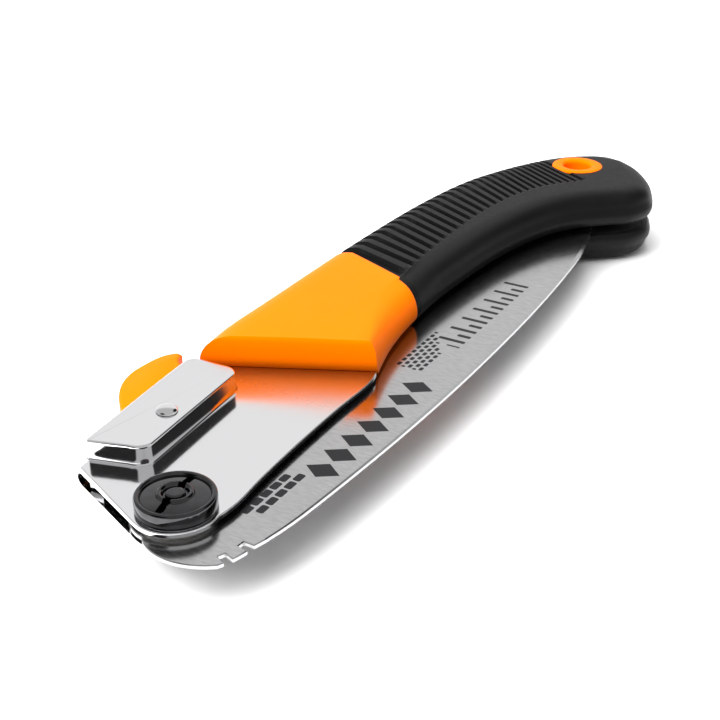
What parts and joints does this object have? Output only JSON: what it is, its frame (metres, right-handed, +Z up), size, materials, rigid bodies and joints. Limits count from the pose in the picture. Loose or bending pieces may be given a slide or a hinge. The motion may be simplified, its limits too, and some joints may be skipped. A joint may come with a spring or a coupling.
{
  "type": "folding pruning saw",
  "caption": "Folding pruning saw, closed: curved steel blade on a pivot nut, chrome bolster with thumb lock, orange and black ribbed handle with a hanging eyelet.",
  "frame": {"origin": "centre of the closed saw's box, on the table under the handle", "axes": "+X from the blade pivot toward the butt, +Y toward the back of the handle and the thumb lever, +Z up through the thickness"},
  "size_m": [0.2951, 0.0847, 0.0274],
  "materials": {
    "bolster_chrome": "mirror",
    "blade_steel": "satin",
    "pivot_dark": "black nickel, glossy",
    "fastener_steel": "bright",
    "washer_nylon": "natural",
    "orange_plastic": "satin gloss",
    "core_plastic": "moulded",
    "grip_rubber": "matte"
  },
  "bodies": {
    "handle": {"bolster": "bolster_chrome", "pivot_bolt": "pivot_dark", "pivot_nut": "pivot_dark", "washer_lower": "washer_nylon", "washer_upper": "washer_nylon", "lock_rivet": "fastener_steel", "lever_spacer": "washer_nylon", "lock_spring": "fastener_steel", "collar_lower": "orange_plastic", "collar_upper": "orange_plastic", "core_lower": "core_plastic", "core_upper": "core_plastic", "grip_lower": "grip_rubber", "grip_upper": "grip_rubber", "tail_pin_front": "fastener_steel", "tail_pin_rear": "fastener_steel", "handle_screw_front": "fastener_steel", "handle_screw_middle": "fastener_steel", "handle_screw_rear": "fastener_steel", "hanging_eyelet": "orange_plastic"},
    "blade": {"blade": "blade_steel"},
    "lock": {"lock_pawl": "fastener_steel", "thumb_lever": "orange_plastic"}
  },
  "joints": [
    {"name": "blade_fold", "type": "hinge", "parent": "handle", "child": "blade", "pos_m": [-0.1322, -0.0087, 0.0135], "axis": [0, 0, -1], "range_deg": [0, 176.8]},
    {"name": "lock_lever", "type": "hinge", "parent": "handle", "child": "lock", "pos_m": [-0.1051, 0.0153, 0.0135], "axis": [0, 0, -1], "range_deg": [-5, 5], "stiffness_Nm_per_rad": 0.3}
  ]
}
